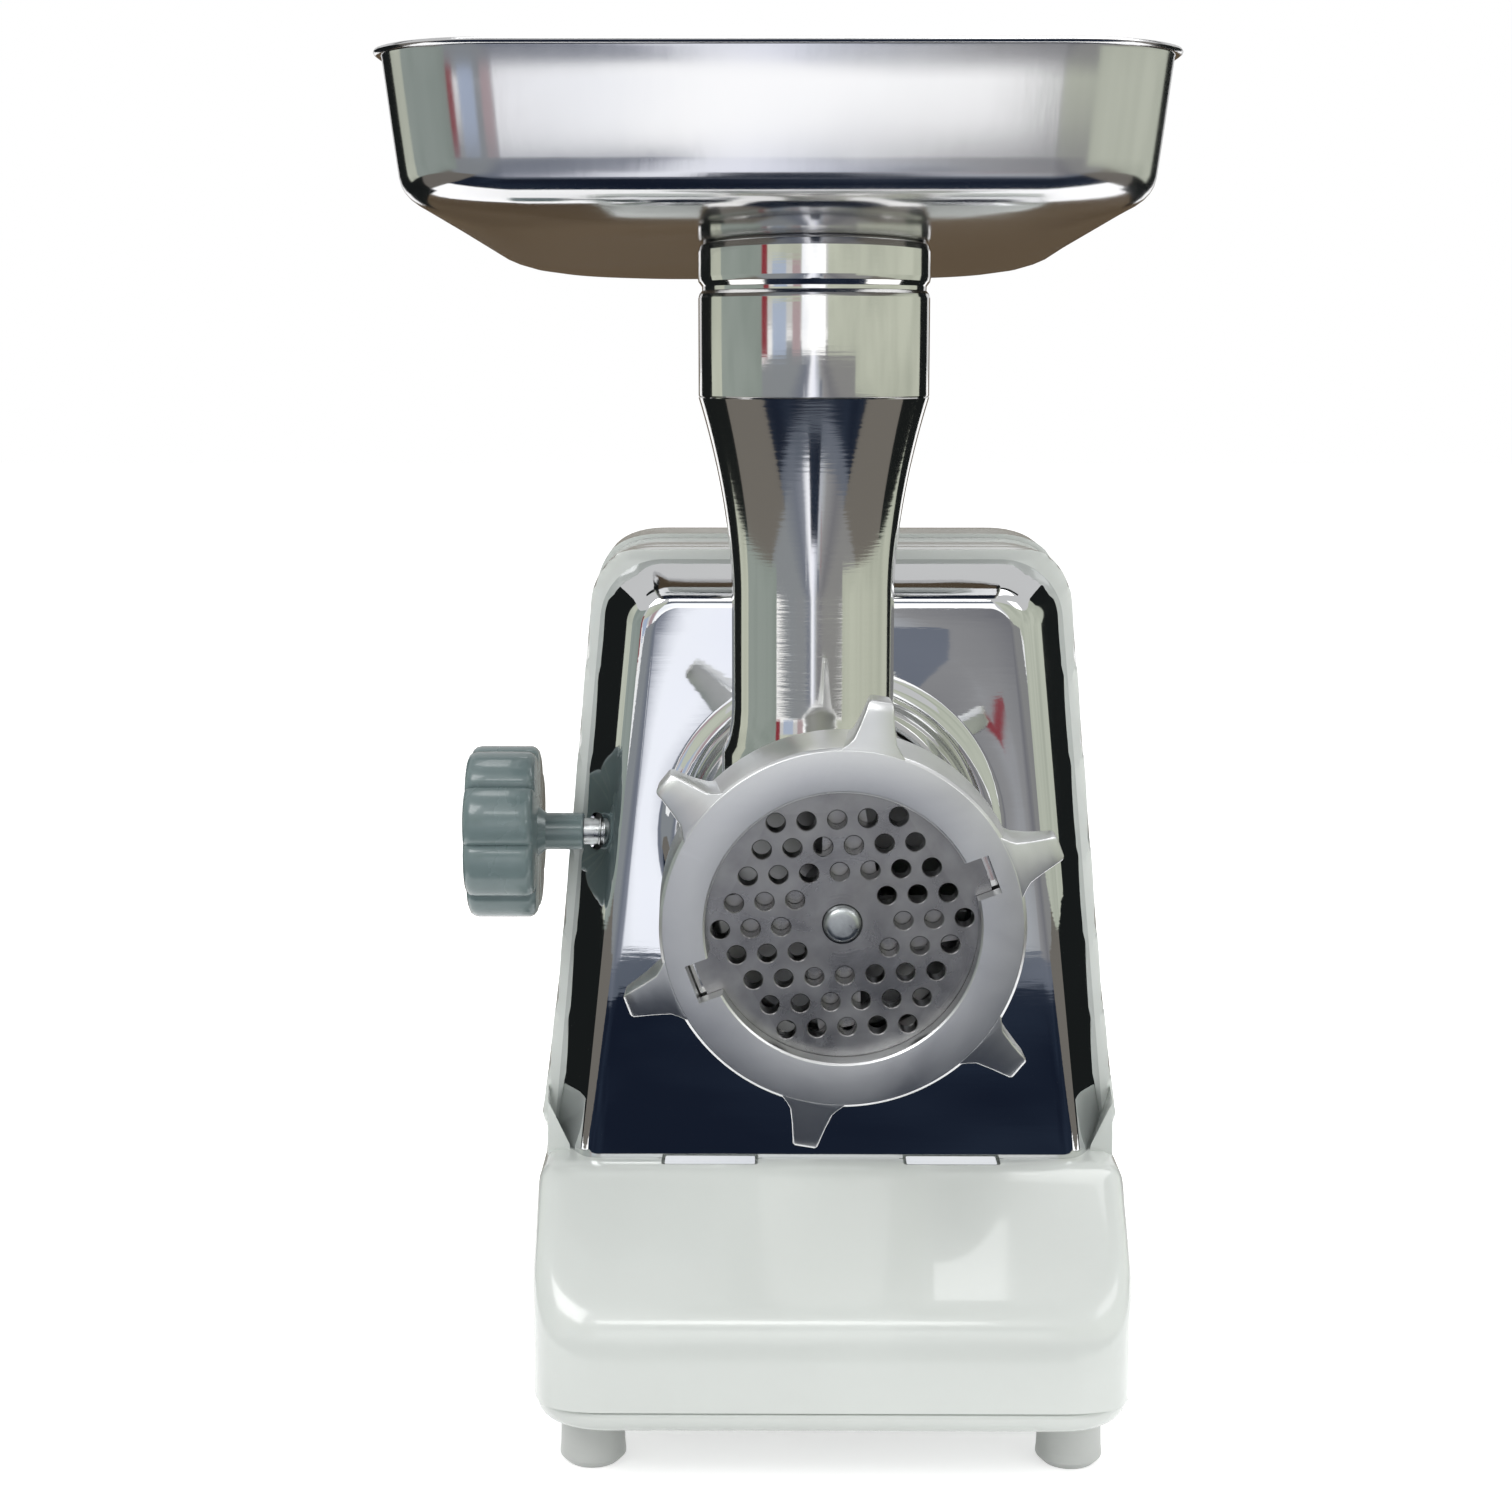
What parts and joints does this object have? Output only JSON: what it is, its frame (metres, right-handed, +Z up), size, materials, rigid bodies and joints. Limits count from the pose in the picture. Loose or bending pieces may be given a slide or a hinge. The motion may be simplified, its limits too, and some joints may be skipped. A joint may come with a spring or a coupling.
{
  "type": "electric meat grinder",
  "caption": "Electric meat grinder with a moulded housing, pressed steel front, feed throat with steel tray, auger, blade and perforated plate behind a lugged ring nut.",
  "frame": {"origin": "on the table plane, below the auger's axis and in the plane of the steel front's flat face", "axes": "+Z up, -Y out of the outlet towards the user, +X to the right seen from the front"},
  "size_m": [0.1859, 0.3049, 0.363],
  "materials": {
    "white_plastic": "glossy",
    "foot_rubber": "matt",
    "screw_steel": "zinc plated",
    "steel_front": "mirror polished",
    "cast_aluminium": "satin cast",
    "bronze": "sintered",
    "lamination": "varnished",
    "copper": "enamelled",
    "black_plastic": "matt",
    "carbon": "matt",
    "red_plastic": "glossy",
    "polished_steel": "polished",
    "plate_steel": "ground",
    "zinc_steel": "bright zinc",
    "gear_nylon": "matt",
    "knob_plastic": "glossy",
    "gear_steel": "machined"
  },
  "bodies": {
    "housing": {"front_housing": "white_plastic", "rear_housing": "white_plastic", "base_pan": "white_plastic", "foot_front_left": "foot_rubber", "foot_front_right": "foot_rubber", "foot_rear_left": "foot_rubber", "foot_rear_right": "foot_rubber", "foot_screws": "screw_steel", "front_cover": "steel_front", "housing_screws": "screw_steel", "gearbox_case": "cast_aluminium", "gearbox_cover": "cast_aluminium", "gearbox_screws": "screw_steel", "output_bush": "bronze", "shaft_bushes": "bronze", "motor_stator": "lamination", "stator_coils": "copper", "motor_bracket": "cast_aluminium", "bracket_pillars": "screw_steel", "brush_holders": "black_plastic", "brushes": "carbon", "switch_bezel": "black_plastic", "cord_gland": "black_plastic"},
    "rocker": {"switch_rocker": "red_plastic"},
    "head": {"grinder_head": "polished_steel", "cutting_plate": "plate_steel", "plate_key": "plate_steel"},
    "auger_set": {"auger": "cast_aluminium", "auger_pin": "zinc_steel", "cross_blade": "plate_steel", "thrust_washer": "gear_nylon"},
    "ring": {"ring_nut": "cast_aluminium"},
    "tray": {"tray_pan": "polished_steel", "tray_neck": "polished_steel"},
    "knob": {"clamp_knob": "knob_plastic", "clamp_bolt": "zinc_steel"},
    "output": {"output_shaft": "gear_steel", "output_gear": "gear_steel"},
    "middle": {"middle_gear": "gear_steel", "middle_pinion": "gear_steel"},
    "first": {"first_gear": "gear_nylon", "first_pinion": "gear_steel"},
    "rotor": {"rotor_shaft": "gear_steel", "armature": "lamination", "commutator": "copper", "cooling_fan": "black_plastic"}
  },
  "joints": [
    {"name": "motor_spin", "type": "hinge", "parent": "housing", "child": "rotor", "pos_m": [0, 0.064, 0.072], "axis": [0, 1, 0], "continuous": true},
    {"name": "first_spin", "type": "hinge", "parent": "housing", "child": "first", "pos_m": [0.02173, 0.06, 0.08886], "axis": [0, 1, 0], "continuous": true},
    {"name": "middle_spin", "type": "hinge", "parent": "housing", "child": "middle", "pos_m": [0, 0.05, 0.1155], "axis": [0, 1, 0], "continuous": true},
    {"name": "output_spin", "type": "hinge", "parent": "housing", "child": "output", "pos_m": [0, 0.04, 0.168], "axis": [0, 1, 0], "continuous": true},
    {"name": "head_slide", "type": "slide", "parent": "housing", "child": "head", "axis": [0, -1, 0], "range_m": [0, 0.04]},
    {"name": "auger_spin", "type": "hinge", "parent": "head", "child": "auger_set", "pos_m": [0, -0.05, 0.168], "axis": [0, 1, 0], "continuous": true},
    {"name": "ring_turn", "type": "hinge", "parent": "head", "child": "ring", "pos_m": [0, -0.095, 0.168], "axis": [0, -1, 0], "range_deg": [0, 1080]},
    {"name": "tray_lift", "type": "slide", "parent": "head", "child": "tray", "axis": [0, 0, 1], "range_m": [0, 0.06]},
    {"name": "knob_turn", "type": "hinge", "parent": "housing", "child": "knob", "pos_m": [-0.06, 0.011, 0.168], "axis": [-1, 0, 0], "range_deg": [0, 720]},
    {"name": "rocker_tilt", "type": "hinge", "parent": "housing", "child": "rocker", "pos_m": [-0.036, 0.1712, 0.13], "axis": [-1, 0, 0], "range_deg": [0, 20]}
  ],
  "couplings": [
    {"joint": "first_spin", "follows": "motor_spin", "ratio": -0.22222},
    {"joint": "middle_spin", "follows": "motor_spin", "ratio": 0.055556},
    {"joint": "output_spin", "follows": "motor_spin", "ratio": -0.013889},
    {"joint": "auger_spin", "follows": "motor_spin", "ratio": -0.013889}
  ]
}
